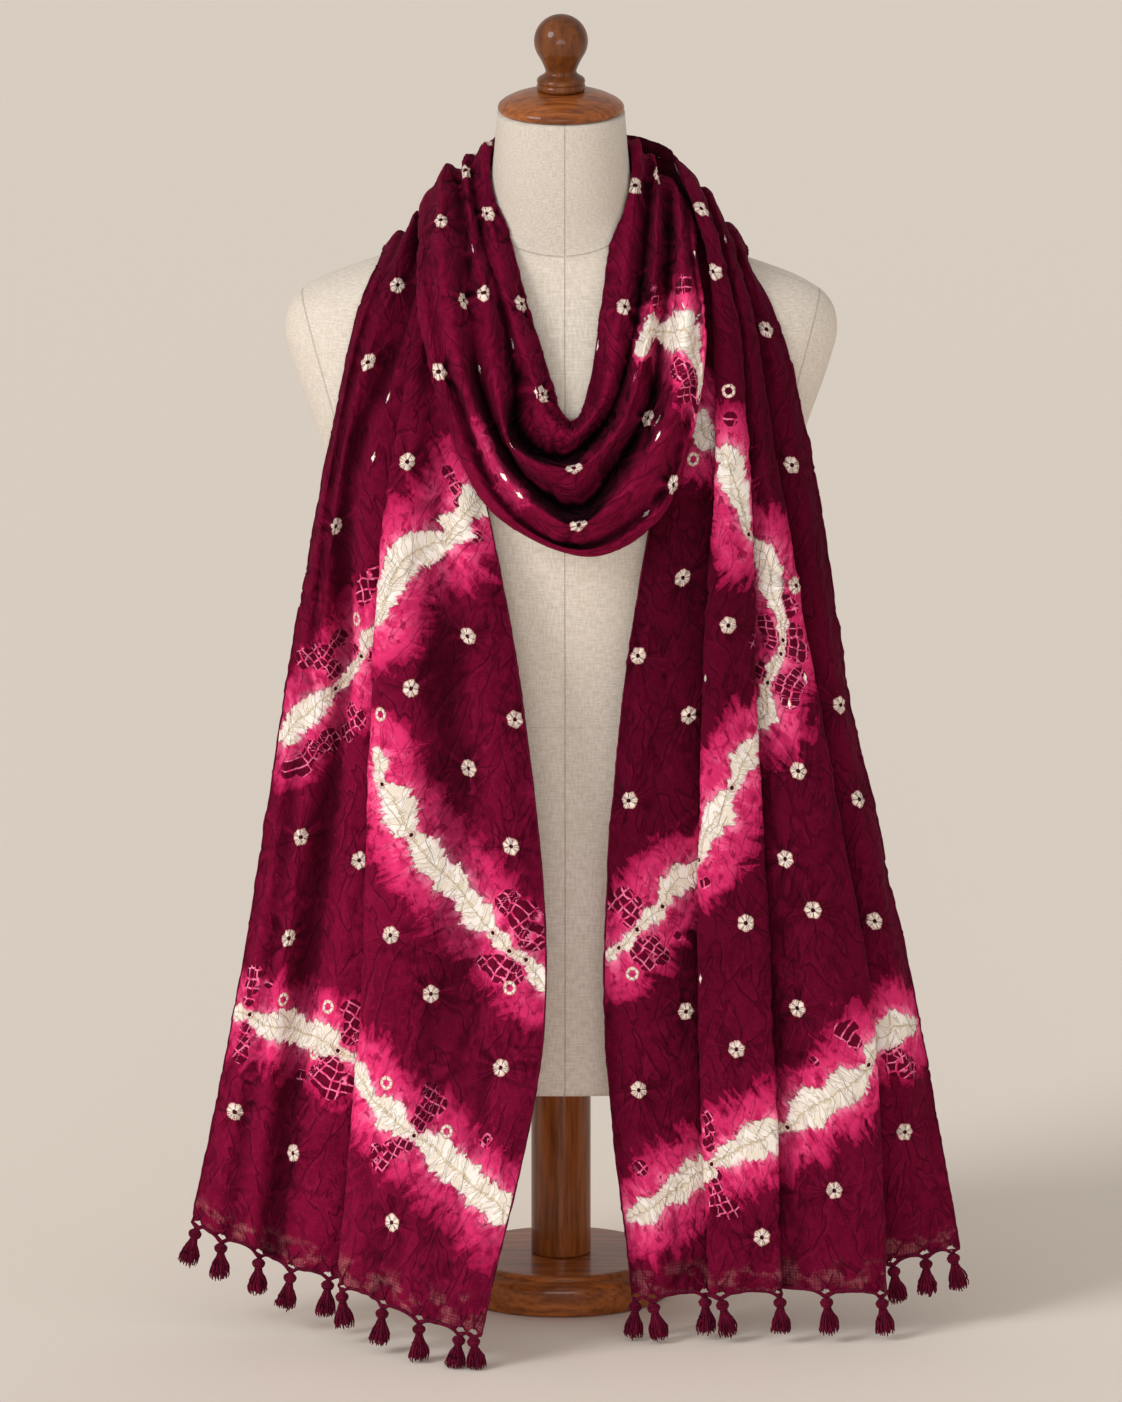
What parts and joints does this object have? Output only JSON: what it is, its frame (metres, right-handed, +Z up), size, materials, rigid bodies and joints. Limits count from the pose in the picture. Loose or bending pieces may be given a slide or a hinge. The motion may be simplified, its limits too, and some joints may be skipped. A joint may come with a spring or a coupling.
{
  "type": "dupatta stole on dress form",
  "caption": "Tie-dyed cotton stole wound once round the neck of a limbless table-top dress form, its two tails hanging in front with tasselled hems.",
  "frame": {"origin": "centre of the round base's underside, where the stand meets the table", "axes": "+Z up along the pole, +X towards the viewer's right, -Y towards the viewer, which is the side that the cowl and both tails hang on"},
  "size_m": [0.5756, 0.3496, 0.9589],
  "materials": {
    "cotton": "matte",
    "tassel_thread": "matte",
    "linen": "matte",
    "turned_wood": "gloss varnish"
  },
  "bodies": {
    "root": {"tail_left": "cotton", "back_band_inner": "cotton", "cowl_front": "cotton", "back_band_outer": "cotton", "tail_right": "cotton", "tassel_left_01": "tassel_thread", "tassel_left_02": "tassel_thread", "tassel_left_03": "tassel_thread", "tassel_left_04": "tassel_thread", "tassel_left_05": "tassel_thread", "tassel_left_06": "tassel_thread", "tassel_left_07": "tassel_thread", "tassel_left_08": "tassel_thread", "tassel_left_09": "tassel_thread", "tassel_left_10": "tassel_thread", "tassel_right_01": "tassel_thread", "tassel_right_02": "tassel_thread", "tassel_right_03": "tassel_thread", "tassel_right_04": "tassel_thread", "tassel_right_05": "tassel_thread", "tassel_right_06": "tassel_thread", "tassel_right_07": "tassel_thread", "tassel_right_08": "tassel_thread", "tassel_right_09": "tassel_thread", "tassel_right_10": "tassel_thread", "form_body": "linen", "neck_cap": "turned_wood", "finial": "turned_wood", "pole": "turned_wood", "base": "turned_wood"}
  },
  "joints": []
}
